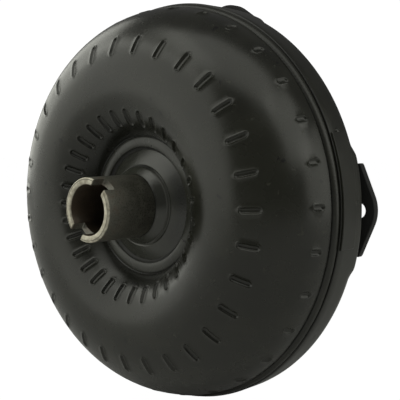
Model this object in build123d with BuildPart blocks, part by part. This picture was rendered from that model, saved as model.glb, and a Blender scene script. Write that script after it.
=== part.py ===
from build123d import *
import os
from math import acos, asin, cos, degrees, pi, radians, sin, sqrt, tan

# A three-element torque converter: impeller and front cover welded into one
# drum, with a turbine and a stator on a one-way clutch inside.
#
# The shaft axis is Y. The origin is on that axis, in the plane where the
# mounting lugs meet the flexplate. The engine is towards +Y, the transmission
# towards -Y. Sections are drawn as (radius, depth), where depth is the distance
# behind the lug plane, towards the transmission. Sizes are in millimetres.
SECTION = Plane(origin=(0, 0, 0), x_dir=(1, 0, 0), z_dir=(0, 0, -1))
ACROSS = Plane.XZ

# --- driving dimensions -------------------------------------------------------

# drum
drum_r = 155.9
cover_wall = 3.8
cover_rear_depth = 43.0
cover_face_depth = 11.3
cover_corner_r = 14.0
cover_hole_r = 14.0
spigot_length = 7.0
spigot_clearance = 0.1

# lugs and the pads they stand on
lug_angles = (0.0, 80.0, 180.0, 260.0)
lug_circle_inset = 9.85
lug_hole_r = 5.6
lug_thickness = 5.5
lug_tip_reach = 12.95
lug_tip_arc_r = 26.5
lug_flank_slope = 24.3
lug_half_width = 34.0
lug_foot_half_width = 24.0
lug_foot_reach = 22.05
lug_corner_r = 4.0
pad_half_angle = 17.0
pad_margin = 7.5
pad_slope_run = 4.0
pad_top_inset = 19.9
pad_edge_depth = 16.9
lug_weld_size = 3.0

# crank pilot
pilot_r = 21.6
pilot_reach = 12.0
pilot_chamfer = 1.6
pilot_base_r = 23.4
pilot_base_depth = 3.9
pilot_pocket_r = 11.0
pilot_pocket_depth = 7.0
pilot_spigot_clearance = 0.05
pilot_weld_size = 3.2

# impeller shell
main_arc_r = 57.7
seam_depth = 46.0
seam_lap = 0.1
shoulder_arc_r = 40.0
shoulder_start_inset = 12.5
shell_wall = 3.0
seam_bead_height = 2.4
seam_bead_width = 6.2
ring_outer_inset = 42.7
ring_depth = 78.0
ring_wall = 4.2
ring_chamfer = 1.2
groove_width = 1.4
groove_drop = 1.3

# blade-tab dimples: reach beyond the middle of the passage, half length, first angle
dimple_depth = 1.0
dimple_width = 4.4
dimple_rows = (
    (-27.7, 6.9, 158.0),
    (25.5, 7.7, 141.65),
    (55.4, 3.0, 72.1),
)

# pump hub
hub_r = 23.81
hub_bore_r = 18.6
hub_end_depth = 134.8
hub_end_chamfer = 0.7
hub_foot_depth = 88.3
hub_slot_angle = 55.5
hub_slot_width = 12.7
hub_slot_depth = 11.0
collar_rise = 6.19
collar_depth = 82.0
collar_step = 1.2
flange_r = 42.8
flange_rear_depth = 74.6
flange_front_depth = 71.6
hub_weld_width = 1.8
bearing_pocket_clearance = 1.2
bearing_pocket_depth = 75.0

# flow circuit
split_depth = 58.0
split_gap = 0.8
core_inner_inset = 8.5
core_outer_reach = 27.5
core_bulge = 14.1
core_wall = 1.2
blade_wall = 1.0
blade_count = 31
impeller_inlet_inset = 35.0
impeller_inlet_depth = 68.5

# blade lines seen along the shaft: reach beyond the middle of the passage, height
impeller_blade_line = ((-46.5, 9.6), (3.5, 1.6), (59.5, -0.4))
turbine_blade_line = ((-48.5, -3.0), (3.5, 8.0), (57.5, -4.0))

# turbine
turbine_blade_count = 29
turbine_tip_clearance = 1.3
turbine_cover_clearance = 2.4
turbine_wall = 1.8
turbine_exit_inset = 44.0
turbine_exit_depth = 48.5
turbine_hub_r = 27.0
turbine_hub_length = 26.9
turbine_flange_r = 41.0
turbine_flange_rear = 42.0
turbine_flange_wall = 4.5
turbine_hole_clearance = 0.5
spline_teeth = 30
input_spline_minor_r = 11.2
input_spline_major_r = 12.3
rivet_count = 12
rivet_circle_r = 34.5
rivet_r = 2.4
rivet_head_r = 4.2
rivet_head_height = 1.9

# stator and its one-way clutch
stator_blade_count = 15
stator_front = 47.4
stator_rear = 70.0
stator_hub_wall = 8.3
stator_shroud_clearance = 3.0
stator_shroud_wall = 1.8
stator_shroud_front = 50.0
stator_shroud_rear = 66.5
stator_wall_front = 68.6
stator_seat_height = 1.4
stator_seat_margin = 0.4
press_gap = 0.05
clutch_front = 50.6
clutch_end_clearance = 0.2
cam_wall = 5.4
cam_land_clearance = 1.6
roller_count = 10
roller_r = 3.1
race_r = 24.6
roller_clearance = 0.03
pocket_clearance = 0.05
clutch_spring_wall = 0.3
clutch_spring_folds = 3
clutch_spring_length = 4.8
clutch_spring_height = 4.2
stator_spline_minor_r = 14.4
stator_spline_major_r = 15.7
cap_bore_r = 20.0
cap_wall = 1.4
cap_front = 49.0
snap_ring_wall = 1.1
snap_ring_depth_of_groove = 1.15
snap_ring_radial = 3.6
snap_ring_gap_width = 9.0

# thrust washer and thrust bearings
washer_inner_r = 19.5
washer_outer_r = 26.5
end_float = 0.1
bearing_gap = 0.05
needle_count = 24
front_bearing_inner_r = 17.0
front_bearing_outer_r = 26.8
front_race_wall = 1.2
front_needle_r = 1.0
rear_bearing_inner_r = 22.0
rear_bearing_outer_r = 32.8
rear_race_wall = 0.9
rear_needle_r = 0.8
cage_margin = 0.7
cage_recess = 0.3
needle_margin = 2.0

# balance weight
weight_first_angle = -9.0
weight_sweep = 30.0
weight_thickness = 1.3
weight_width = 16.5
weight_front_depth = 25.6
weight_gap = 0.05


def write(piece, label):
    """Name a finished piece and write it to its own file."""
    piece.part.label = label
    export_step(piece.part, f"parts/{label}.step")


def arc_depth(center, radius, r):
    """Depth of an arc's rear side at distance r from the shaft."""
    return center[1] + sqrt(radius**2 - (r - center[0])**2)


def arc_angle(center, radius, r):
    """Angle in the section, from the +radius direction, of that same point."""
    return degrees(acos((r - center[0]) / radius))


def turned(piece, angles):
    """Copies of a piece turned about the shaft, seen from the transmission."""
    return [piece.part.rotate(Axis.Y, -angle) for angle in angles]


def evenly(count, first=0.0):
    """Angles of count pieces spaced evenly round the shaft."""
    return [first + index * 360 / count for index in range(count)]


def plain_ring(r_in, r_out, front, rear):
    """Closed section outline of a flat ring, for use inside a BuildLine."""
    return Polyline((r_in, front), (r_out, front), (r_out, rear), (r_in, rear), close=True)


os.makedirs("parts", exist_ok=True)

# --- places worked out from the sizes above -----------------------------------

torus_center_r = drum_r - cover_wall + seam_lap - main_arc_r
shoulder_start_r = torus_center_r - shoulder_start_inset
ring_outer_r = torus_center_r - ring_outer_inset
ring_inner_r = flange_r + hub_weld_width
core_inner_r = torus_center_r - core_inner_inset
core_outer_r = torus_center_r + core_outer_reach
impeller_inlet_r = torus_center_r - impeller_inlet_inset
turbine_exit_r = torus_center_r - turbine_exit_inset
lug_circle_r = drum_r - lug_circle_inset
pad_top_r = drum_r - pad_top_inset
collar_r = hub_r + collar_rise
stator_bore_r = race_r + 2 * roller_r + cam_wall
stator_hub_r = stator_bore_r + stator_hub_wall
stator_shroud_r = core_inner_r - stator_shroud_clearance
stator_seat_r = rear_bearing_outer_r + stator_seat_margin
cam_land_r = race_r + cam_land_clearance
main_center = (torus_center_r, seam_depth)
shoulder_angle = arc_angle(main_center, main_arc_r, shoulder_start_r)
shoulder_center = (
    shoulder_start_r - shoulder_arc_r * cos(radians(shoulder_angle)),
    arc_depth(main_center, main_arc_r, shoulder_start_r)
    - shoulder_arc_r * sin(radians(shoulder_angle)),
)
inner_main_r = main_arc_r - shell_wall
inner_shoulder_r = shoulder_arc_r - shell_wall
cover_inner_depth = cover_face_depth + cover_wall
cover_inner_r = drum_r - cover_wall
impeller_edge = split_depth + split_gap
turbine_edge = split_depth - split_gap
core_middle_r = (core_inner_r + core_outer_r) / 2
core_arc_r = ((core_outer_r - core_inner_r)**2 / 4 + core_bulge**2) / (2 * core_bulge)

# --- impeller shell -----------------------------------------------------------
# Pressed steel bowl. The tighter shoulder arc leaves the main arc where the two
# share a tangent, and runs down to the flat ring that the hub is welded into.

foot_r = ring_outer_r + 2 * groove_width - 0.4
foot_angle = arc_angle(shoulder_center, shoulder_arc_r, foot_r)
ring_front = ring_depth - ring_wall
inner_foot_angle = 180 - degrees(asin((ring_front - shoulder_center[1]) / inner_shoulder_r))
spigot_r = cover_inner_r - spigot_clearance

with BuildPart() as plain_shell:
    with BuildSketch(SECTION):
        with BuildLine():
            bowl = CenterArc(main_center, main_arc_r, 0, shoulder_angle)
            shoulder = CenterArc(
                shoulder_center, shoulder_arc_r, shoulder_angle, foot_angle - shoulder_angle
            )
            lip = Polyline(
                shoulder @ 1,
                (ring_outer_r + groove_width, ring_depth - groove_drop),
                (ring_outer_r, ring_depth),
                (ring_inner_r + ring_chamfer, ring_depth),
                (ring_inner_r, ring_depth - ring_chamfer),
                (ring_inner_r, ring_front),
            )
            inner_shoulder = CenterArc(
                shoulder_center, inner_shoulder_r, inner_foot_angle,
                shoulder_angle - inner_foot_angle,
            )
            Line(lip @ 1, inner_shoulder @ 0)
            inner_bowl = CenterArc(main_center, inner_main_r, shoulder_angle, -shoulder_angle)
            Polyline(
                inner_bowl @ 1,
                (torus_center_r + inner_main_r, cover_rear_depth - spigot_length),
                (spigot_r, cover_rear_depth - spigot_length),
                (spigot_r, seam_depth - 1.0),
                bowl @ 0,
            )
        make_face()
    revolve(axis=Axis.Y)

# One stamped groove for each row of blade tabs, along the shell's own curve.
dimple_tools = []
for reach, half_length, first_angle in dimple_rows:
    row_r = torus_center_r + reach
    on_shoulder = row_r < shoulder_start_r
    center = shoulder_center if on_shoulder else main_center
    radius = shoulder_arc_r if on_shoulder else main_arc_r
    lean = radians(arc_angle(center, radius, row_r))
    skin = Plane(
        origin=(row_r, -arc_depth(center, radius, row_r), 0),
        x_dir=(-sin(lean), -cos(lean), 0),
        z_dir=(cos(lean), -sin(lean), 0),
    )
    with BuildPart() as dimple:
        with BuildSketch(skin.offset(-dimple_depth)):
            SlotOverall(2 * half_length, dimple_width)
        extrude(amount=3 * dimple_depth)
    dimple_tools += turned(dimple, evenly(blade_count, first_angle))

with BuildPart() as impeller_shell:
    add(plain_shell.part)
    add(dimple_tools, mode=Mode.SUBTRACT)
write(impeller_shell, "impeller_shell")

# --- impeller blades ----------------------------------------------------------
# Each blade is thin sheet, bent to an arc seen along the shaft, and trimmed to
# the passage between the shell and the core ring.

core_rear_center = (core_middle_r, impeller_edge + core_bulge - core_arc_r)
inlet_on_core_r = core_middle_r - sqrt(
    core_arc_r**2 - (impeller_inlet_depth - core_rear_center[1])**2
)
inlet_angle = arc_angle(shoulder_center, inner_shoulder_r, impeller_inlet_r)
exit_angle = degrees(asin((impeller_edge - seam_depth) / inner_main_r))

with BuildPart() as impeller_blade:
    with BuildSketch(SECTION):
        with BuildLine():
            wall = CenterArc(main_center, inner_main_r, exit_angle, shoulder_angle - exit_angle)
            wall_shoulder = CenterArc(
                shoulder_center, inner_shoulder_r, shoulder_angle, inlet_angle - shoulder_angle
            )
            core_start = (inlet_on_core_r, impeller_inlet_depth)
            Line(wall_shoulder @ 1, core_start)
            core = ThreePointArc(
                core_start,
                (core_middle_r, impeller_edge + core_bulge),
                (core_outer_r, impeller_edge),
            )
            Line(core @ 1, wall @ 0)
        make_face()
    revolve(axis=Axis.Y)
    with BuildSketch(ACROSS):
        with BuildLine():
            ThreePointArc(*[(torus_center_r + reach, rise) for reach, rise in impeller_blade_line])
        trace(line_width=blade_wall)
    extrude(amount=hub_end_depth, mode=Mode.INTERSECT)

with BuildPart() as impeller_blades:
    add(turned(impeller_blade, evenly(blade_count, dimple_rows[1][2])))
write(impeller_blades, "impeller_blades")

with BuildPart() as impeller_core_ring:
    with BuildSketch(SECTION):
        with BuildLine():
            back = ThreePointArc(
                (core_inner_r, impeller_edge),
                (core_middle_r, impeller_edge + core_bulge),
                (core_outer_r, impeller_edge),
            )
            front = ThreePointArc(
                (core_inner_r + core_wall, impeller_edge),
                (core_middle_r, impeller_edge + core_bulge - core_wall),
                (core_outer_r - core_wall, impeller_edge),
            )
            Line(back @ 0, front @ 0)
            Line(back @ 1, front @ 1)
        make_face()
    revolve(axis=Axis.Y)
write(impeller_core_ring, "impeller_core_ring")

# --- pump hub -----------------------------------------------------------------
# Turned steel tube that drives the pump by two slots in its open end. Its flange
# carries the pocket of the rear thrust bearing.

with BuildPart() as pump_hub:
    with BuildSketch(SECTION):
        with BuildLine():
            Polyline(
                (hub_bore_r + hub_end_chamfer, hub_end_depth),
                (hub_r - hub_end_chamfer, hub_end_depth),
                (hub_r, hub_end_depth - hub_end_chamfer),
                (hub_r, hub_foot_depth),
                (collar_r - 0.8, collar_depth + 0.8),
                (collar_r, collar_depth),
                (collar_r, collar_depth - collar_step),
                (flange_r, flange_rear_depth),
                (flange_r, flange_front_depth),
                (rear_bearing_outer_r + bearing_pocket_clearance, flange_front_depth),
                (rear_bearing_outer_r + bearing_pocket_clearance, bearing_pocket_depth),
                (hub_bore_r, bearing_pocket_depth),
                (hub_bore_r, hub_end_depth - hub_end_chamfer),
                close=True,
            )
        make_face()
    revolve(axis=Axis.Y)
    with BuildSketch(ACROSS.offset(hub_end_depth)):
        Rectangle(3 * hub_r, hub_slot_width, rotation=hub_slot_angle)
    extrude(amount=-hub_slot_depth, mode=Mode.SUBTRACT)
write(pump_hub, "pump_hub")

# Weld bead that fills the gap between the hub's flange and the shell's ring.
with BuildPart() as hub_weld:
    with BuildSketch(SECTION):
        with BuildLine():
            bead = Polyline(
                (flange_r, flange_rear_depth),
                (flange_r, ring_front),
                (ring_inner_r, ring_front),
                (ring_inner_r, flange_rear_depth + 1.2),
            )
            ThreePointArc(
                bead @ 1,
                ((flange_r + ring_inner_r) / 2, flange_rear_depth + 0.35),
                bead @ 0,
            )
        make_face()
    revolve(axis=Axis.Y)
write(hub_weld, "hub_weld")

# --- front cover --------------------------------------------------------------
# Pressed steel dish with a raised pad under each lug. The pad falls away towards
# the rim, which leaves room for the end of the bolt behind the lug's hole.

pad_inner_r = lug_circle_r - lug_foot_reach - pad_margin
with BuildPart() as pad:
    with BuildSketch(SECTION):
        with BuildLine():
            pad_top = Polyline(
                (pad_inner_r, (cover_face_depth + cover_inner_depth) / 2),
                (pad_inner_r, cover_face_depth),
                (pad_inner_r + pad_slope_run, lug_thickness),
                (pad_top_r, lug_thickness),
                (drum_r - 1.0, pad_edge_depth - 1.0),
                (drum_r, pad_edge_depth),
                (drum_r, cover_face_depth + cover_corner_r),
                (drum_r - cover_wall / 2, cover_face_depth + cover_corner_r),
            )
            in_wall = CenterArc(
                (drum_r - cover_corner_r, cover_face_depth + cover_corner_r),
                cover_corner_r - cover_wall / 2, 0, -90,
            )
            Line(in_wall @ 1, pad_top @ 0)
        make_face()
    revolve(axis=Axis.Y, revolution_arc=2 * pad_half_angle)

with BuildPart() as front_cover:
    with BuildSketch(SECTION):
        with BuildLine():
            face = Line((cover_hole_r, cover_face_depth), (drum_r - cover_corner_r, cover_face_depth))
            outer_corner = CenterArc(
                (drum_r - cover_corner_r, cover_face_depth + cover_corner_r),
                cover_corner_r, 270, 90,
            )
            edge = Polyline(
                outer_corner @ 1,
                (drum_r, cover_rear_depth - 1.0),
                (drum_r - 1.0, cover_rear_depth),
                (cover_inner_r, cover_rear_depth),
                (cover_inner_r, cover_face_depth + cover_corner_r),
            )
            inner_corner = CenterArc(
                (drum_r - cover_corner_r, cover_face_depth + cover_corner_r),
                cover_corner_r - cover_wall, 0, -90,
            )
            Polyline(inner_corner @ 1, (cover_hole_r, cover_inner_depth), face @ 0)
        make_face()
    revolve(axis=Axis.Y)
    add(turned(pad, [angle + pad_half_angle for angle in lug_angles]))
write(front_cover, "front_cover")

# Seam bead in the corner between the cover's edge and the impeller shell.
with BuildPart() as closure_weld:
    with BuildSketch(SECTION):
        with BuildLine():
            toe = (cover_inner_r + 0.1, cover_rear_depth + seam_bead_width)
            root = Polyline(
                toe,
                (cover_inner_r + 0.1, cover_rear_depth),
                (cover_inner_r + seam_bead_height, cover_rear_depth),
            )
            ThreePointArc(
                root @ 1,
                (cover_inner_r + 0.8 * seam_bead_height, cover_rear_depth + 0.55 * seam_bead_width),
                toe,
            )
        make_face()
    revolve(axis=Axis.Y)
write(closure_weld, "closure_weld")

# --- mounting lugs ------------------------------------------------------------

with BuildPart() as lug:
    with BuildSketch(ACROSS) as lug_outline:
        with BuildLine():
            tip_center_r = lug_circle_r + lug_tip_reach - lug_tip_arc_r
            tip = CenterArc((tip_center_r, 0), lug_tip_arc_r, -lug_flank_slope, 2 * lug_flank_slope)
            flank_end = tip @ 1
            run = lug_half_width - flank_end.Y
            corner_r = flank_end.X - run * tan(radians(lug_flank_slope))
            foot = lug_circle_r - lug_foot_reach
            Polyline(
                tip @ 1,
                (corner_r, lug_half_width),
                (foot, lug_foot_half_width),
                (foot, -lug_foot_half_width),
                (corner_r, -lug_half_width),
                tip @ 0,
            )
        make_face()
        fillet(lug_outline.vertices().group_by(Axis.X)[0], radius=lug_corner_r)
        with Locations((lug_circle_r, 0)):
            Circle(lug_hole_r, mode=Mode.SUBTRACT)
    extrude(amount=lug_thickness)

for number, angle in enumerate(lug_angles, start=1):
    with BuildPart() as mounting_lug:
        add(turned(lug, [angle]))
    write(mounting_lug, f"mounting_lug_{number}")

# Fillet weld along the inner edge of each lug.
with BuildPart() as lug_weld:
    with BuildSketch(SECTION):
        with BuildLine():
            heel = Polyline((foot, lug_thickness - lug_weld_size), (foot, lug_thickness),
                            (foot - lug_weld_size, lug_thickness))
            ThreePointArc(
                heel @ 1,
                (foot - 0.6 * lug_weld_size, lug_thickness - 0.6 * lug_weld_size),
                heel @ 0,
            )
        make_face()
    extrude(amount=lug_foot_half_width - lug_corner_r, both=True)

with BuildPart() as lug_welds:
    add(turned(lug_weld, lug_angles))
write(lug_welds, "lug_welds")

# --- crank pilot --------------------------------------------------------------
# Turned nose that centres the drum in the crankshaft. It stands on a wider base,
# which is welded to the cover, and a spigot closes the hole behind it.

with BuildPart() as crank_pilot:
    with BuildSketch(SECTION):
        with BuildLine():
            Polyline(
                (0, pilot_pocket_depth - pilot_reach),
                (pilot_pocket_r, pilot_pocket_depth - pilot_reach),
                (pilot_pocket_r, -pilot_reach),
                (pilot_r - pilot_chamfer, -pilot_reach),
                (pilot_r, pilot_chamfer - pilot_reach),
                (pilot_r, pilot_base_depth),
                (pilot_base_r, pilot_base_depth),
                (pilot_base_r, cover_face_depth),
                (cover_hole_r - pilot_spigot_clearance, cover_face_depth),
                (cover_hole_r - pilot_spigot_clearance, cover_inner_depth),
                (0, cover_inner_depth),
                close=True,
            )
        make_face()
    revolve(axis=Axis.Y)
write(crank_pilot, "crank_pilot")

with BuildPart() as pilot_weld:
    with BuildSketch(SECTION):
        with BuildLine():
            heel = Polyline(
                (pilot_base_r, cover_face_depth - pilot_weld_size),
                (pilot_base_r, cover_face_depth),
                (pilot_base_r + pilot_weld_size, cover_face_depth),
            )
            ThreePointArc(
                heel @ 1,
                (pilot_base_r + 0.6 * pilot_weld_size, cover_face_depth - 0.6 * pilot_weld_size),
                heel @ 0,
            )
        make_face()
    revolve(axis=Axis.Y)
write(pilot_weld, "pilot_weld")

# --- balance weight -----------------------------------------------------------

with BuildPart() as weight_strip:
    with BuildSketch(SECTION):
        with BuildLine():
            plain_ring(
                drum_r + weight_gap,
                drum_r + weight_gap + weight_thickness,
                weight_front_depth,
                weight_front_depth + weight_width,
            )
        make_face()
    revolve(axis=Axis.Y, revolution_arc=weight_sweep)

with BuildPart() as balance_weight:
    add(turned(weight_strip, [weight_first_angle + weight_sweep]))
write(balance_weight, "balance_weight")

# --- turbine ------------------------------------------------------------------
# The shell is half an ellipse in section, and its flat neck is riveted to the
# splined hub. Its tip runs just inside the impeller shell.

turbine_tip_r = arc_depth((0, torus_center_r), inner_main_r, turbine_edge - seam_depth)
turbine_tip_r = turbine_tip_r - turbine_tip_clearance
turbine_half_r = turbine_tip_r - torus_center_r
turbine_half_depth = turbine_edge - cover_inner_depth - turbine_cover_clearance
neck_rear = turbine_flange_rear + turbine_wall
inner_half_r = turbine_half_r - turbine_wall
inner_half_depth = turbine_half_depth - turbine_wall
outer_neck_angle = 180 - degrees(asin((turbine_edge - turbine_flange_rear) / turbine_half_depth))
inner_neck_angle = 180 - degrees(asin((turbine_edge - neck_rear) / inner_half_depth))
turbine_center = (torus_center_r, turbine_edge)

with BuildPart() as turbine_shell:
    with BuildSketch(SECTION):
        with BuildLine():
            outer = EllipticalCenterArc(
                turbine_center, turbine_half_r, turbine_half_depth,
                start_angle=-outer_neck_angle, arc_size=outer_neck_angle,
            )
            inner = EllipticalCenterArc(
                turbine_center, inner_half_r, inner_half_depth,
                start_angle=-inner_neck_angle, arc_size=inner_neck_angle,
            )
            Polyline(
                outer @ 0,
                (turbine_hub_r + turbine_hole_clearance, turbine_flange_rear),
                (turbine_hub_r + turbine_hole_clearance, neck_rear),
                inner @ 0,
            )
            Line(outer @ 1, inner @ 1)
        make_face()
    revolve(axis=Axis.Y)
    with BuildSketch(ACROSS.offset(turbine_flange_rear)):
        with PolarLocations(rivet_circle_r, rivet_count):
            Circle(rivet_r)
    extrude(amount=turbine_wall, mode=Mode.SUBTRACT)
write(turbine_shell, "turbine_shell")

core_front_center = (core_middle_r, turbine_edge - core_bulge + core_arc_r)
exit_on_core_r = core_middle_r - sqrt(
    core_arc_r**2 - (core_front_center[1] - turbine_exit_depth)**2
)
exit_cos = (turbine_exit_r - torus_center_r) / inner_half_r
exit_angle_on_shell = degrees(acos(exit_cos))

with BuildPart() as turbine_blade:
    with BuildSketch(SECTION):
        with BuildLine():
            wall = EllipticalCenterArc(
                turbine_center, inner_half_r, inner_half_depth,
                start_angle=-exit_angle_on_shell, arc_size=exit_angle_on_shell,
            )
            core = ThreePointArc(
                (exit_on_core_r, turbine_exit_depth),
                (core_middle_r, turbine_edge - core_bulge),
                (core_outer_r, turbine_edge),
            )
            Line(wall @ 0, core @ 0)
            Line(wall @ 1, core @ 1)
        make_face()
    revolve(axis=Axis.Y)
    with BuildSketch(ACROSS):
        with BuildLine():
            ThreePointArc(*[(torus_center_r + reach, rise) for reach, rise in turbine_blade_line])
        trace(line_width=blade_wall)
    extrude(amount=hub_end_depth, mode=Mode.INTERSECT)

with BuildPart() as turbine_blades:
    add(turned(turbine_blade, evenly(turbine_blade_count)))
write(turbine_blades, "turbine_blades")

with BuildPart() as turbine_core_ring:
    with BuildSketch(SECTION):
        with BuildLine():
            back = ThreePointArc(
                (core_inner_r, turbine_edge),
                (core_middle_r, turbine_edge - core_bulge),
                (core_outer_r, turbine_edge),
            )
            front = ThreePointArc(
                (core_inner_r + core_wall, turbine_edge),
                (core_middle_r, turbine_edge - core_bulge + core_wall),
                (core_outer_r - core_wall, turbine_edge),
            )
            Line(back @ 0, front @ 0)
            Line(back @ 1, front @ 1)
        make_face()
    revolve(axis=Axis.Y)
write(turbine_core_ring, "turbine_core_ring")

front_bearing_stack = 2 * front_race_wall + 2 * bearing_gap + 2 * front_needle_r
turbine_hub_front = cover_inner_depth + front_bearing_stack
turbine_hub_rear = turbine_hub_front + turbine_hub_length
turbine_flange_front = turbine_flange_rear - turbine_flange_wall

with BuildPart() as turbine_hub:
    with BuildSketch(SECTION):
        with BuildLine():
            Polyline(
                (input_spline_minor_r, turbine_hub_front),
                (turbine_hub_r, turbine_hub_front),
                (turbine_hub_r, turbine_flange_front),
                (turbine_flange_r, turbine_flange_front),
                (turbine_flange_r, turbine_flange_rear),
                (turbine_hub_r, turbine_flange_rear),
                (turbine_hub_r, turbine_hub_rear),
                (input_spline_minor_r, turbine_hub_rear),
                close=True,
            )
        make_face()
    revolve(axis=Axis.Y)
    with BuildSketch(ACROSS.offset(turbine_hub_front)):
        with PolarLocations(input_spline_minor_r, spline_teeth):
            tooth_pitch = 2 * pi * input_spline_minor_r / spline_teeth
            Rectangle(2 * (input_spline_major_r - input_spline_minor_r), tooth_pitch / 2)
    extrude(amount=turbine_hub_length, mode=Mode.SUBTRACT)
    with BuildSketch(ACROSS.offset(turbine_flange_front)):
        with PolarLocations(rivet_circle_r, rivet_count):
            Circle(rivet_r)
    extrude(amount=turbine_flange_wall, mode=Mode.SUBTRACT)
write(turbine_hub, "turbine_hub")

with BuildPart() as turbine_rivets:
    with BuildSketch(ACROSS.offset(turbine_flange_front)):
        with PolarLocations(rivet_circle_r, rivet_count):
            Circle(rivet_r)
    extrude(amount=turbine_flange_wall + turbine_wall)
    with BuildSketch(ACROSS.offset(turbine_flange_front - rivet_head_height)):
        with PolarLocations(rivet_circle_r, rivet_count):
            Circle(rivet_head_r)
    extrude(amount=rivet_head_height)
    with BuildSketch(ACROSS.offset(neck_rear)):
        with PolarLocations(rivet_circle_r, rivet_count):
            Circle(rivet_head_r)
    extrude(amount=rivet_head_height)
write(turbine_rivets, "turbine_rivets")

# --- stator -------------------------------------------------------------------
# One aluminium casting: hub, blades and outer shroud. The hub holds the one-way
# clutch between its rear wall and a cap kept in by a snap ring.

groove_side_clearance = 0.05
snap_groove_r = stator_bore_r + snap_ring_depth_of_groove
snap_ring_front = cap_front - snap_ring_wall - groove_side_clearance
stator_wall_rear = stator_rear + stator_seat_height
shroud_inner_r = stator_shroud_r - stator_shroud_wall

with BuildPart() as stator_wheel:
    with BuildSketch(SECTION):
        with BuildLine():
            Polyline(
                (stator_bore_r, stator_front),
                (stator_hub_r, stator_front),
                (stator_hub_r, stator_rear),
                (stator_seat_r, stator_rear),
                (stator_seat_r, stator_wall_rear),
                (cam_land_r, stator_wall_rear),
                (cam_land_r, stator_wall_front),
                (stator_bore_r, stator_wall_front),
                (stator_bore_r, cap_front),
                (snap_groove_r, cap_front),
                (snap_groove_r, snap_ring_front - groove_side_clearance),
                (stator_bore_r, snap_ring_front - groove_side_clearance),
                close=True,
            )
        make_face()
        with BuildLine():
            plain_ring(shroud_inner_r, stator_shroud_r, stator_shroud_front, stator_shroud_rear)
        make_face()
    revolve(axis=Axis.Y)
    with BuildSketch(Plane.YZ.offset(stator_hub_r - 1.0)):
        with BuildLine():
            nose = ThreePointArc((-52.6, 2.6), (-50.4, 0.2), (-52.6, -2.2))
            belly = ThreePointArc(nose @ 1, (-60.0, 0.4), (-66.0, 7.4))
            tail = Line(belly @ 1, (-66.3, 8.4))
            ThreePointArc(tail @ 1, (-60.0, 5.0), nose @ 0)
        make_face()
    blade_span = extrude(amount=shroud_inner_r + 0.9 - stator_hub_r + 1.0)
    add([blade_span.rotate(Axis.Y, -angle) for angle in evenly(stator_blade_count)[1:]])
write(stator_wheel, "stator_wheel")

with BuildPart() as stator_cap:
    with BuildSketch(SECTION):
        with BuildLine():
            plain_ring(cap_bore_r, stator_bore_r - press_gap, cap_front, cap_front + cap_wall)
        make_face()
    revolve(axis=Axis.Y)
write(stator_cap, "stator_cap")

with BuildPart() as stator_snap_ring:
    with BuildSketch(SECTION):
        with BuildLine():
            snap_outer_r = snap_groove_r - press_gap
            plain_ring(
                snap_outer_r - snap_ring_radial, snap_outer_r,
                snap_ring_front, snap_ring_front + snap_ring_wall,
            )
        make_face()
    revolve(axis=Axis.Y)
    with BuildSketch(ACROSS.offset(snap_ring_front)):
        with Locations((0, -snap_groove_r)):
            Rectangle(snap_ring_gap_width, 3 * snap_ring_radial)
    extrude(amount=snap_ring_wall, mode=Mode.SUBTRACT)
write(stator_snap_ring, "stator_snap_ring")

# --- one-way clutch -----------------------------------------------------------
# Rollers between the outer cam and the inner race, each pushed by a folded leaf
# spring into the narrow end of its pocket.

clutch_rear = stator_wall_front - clutch_end_clearance
clutch_length = clutch_rear - clutch_front
roller_circle_r = race_r + roller_clearance + roller_r
pocket_r = roller_r + pocket_clearance
spring_center = -(pocket_r + clutch_spring_length / 2)

with BuildPart() as clutch_cam:
    with BuildSketch(ACROSS.offset(clutch_front)):
        Circle(stator_bore_r - press_gap)
        Circle(cam_land_r, mode=Mode.SUBTRACT)
        with PolarLocations(roller_circle_r, roller_count):
            Circle(pocket_r, mode=Mode.SUBTRACT)
        for angle in evenly(roller_count):
            with Locations(Rot(0, 0, angle) * Pos(roller_circle_r - 0.6, spring_center + 0.4)):
                Rectangle(
                    clutch_spring_height + 0.6, clutch_spring_length + 1.4, mode=Mode.SUBTRACT
                )
    extrude(amount=clutch_length)
write(clutch_cam, "clutch_cam")

with BuildPart() as clutch_rollers:
    with BuildSketch(ACROSS.offset(clutch_front + clutch_end_clearance)):
        with PolarLocations(roller_circle_r, roller_count):
            Circle(roller_r)
    extrude(amount=clutch_length - 2 * clutch_end_clearance)
write(clutch_rollers, "clutch_rollers")

with BuildPart() as clutch_spring:
    with BuildSketch(ACROSS.offset(clutch_front + 2.0)):
        with BuildLine():
            half = clutch_spring_height / 2 - clutch_spring_wall
            step = (clutch_spring_length - 2 * clutch_spring_wall) / clutch_spring_folds
            first = spring_center - clutch_spring_length / 2 + clutch_spring_wall
            middle = roller_circle_r - 0.6
            Polyline(*[
                (middle + (half if fold % 2 else -half), first + fold * step)
                for fold in range(clutch_spring_folds + 1)
            ])
        trace(line_width=clutch_spring_wall)
    extrude(amount=clutch_length - 4.0)

with BuildPart() as clutch_springs:
    add(turned(clutch_spring, evenly(roller_count)))
write(clutch_springs, "clutch_springs")

with BuildPart() as clutch_race:
    with BuildSketch(ACROSS.offset(clutch_front)):
        Circle(race_r)
        Circle(stator_spline_minor_r, mode=Mode.SUBTRACT)
        with PolarLocations(stator_spline_minor_r, spline_teeth):
            race_pitch = 2 * pi * stator_spline_minor_r / spline_teeth
            Rectangle(
                2 * (stator_spline_major_r - stator_spline_minor_r), race_pitch / 2,
                mode=Mode.SUBTRACT,
            )
    extrude(amount=clutch_length)
write(clutch_race, "clutch_race")

# --- thrust washer and thrust bearings ----------------------------------------

with BuildPart() as thrust_washer:
    with BuildSketch(SECTION):
        with BuildLine():
            plain_ring(washer_inner_r, washer_outer_r, turbine_hub_rear + end_float, cap_front)
        make_face()
    revolve(axis=Axis.Y)
write(thrust_washer, "thrust_washer")


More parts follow.
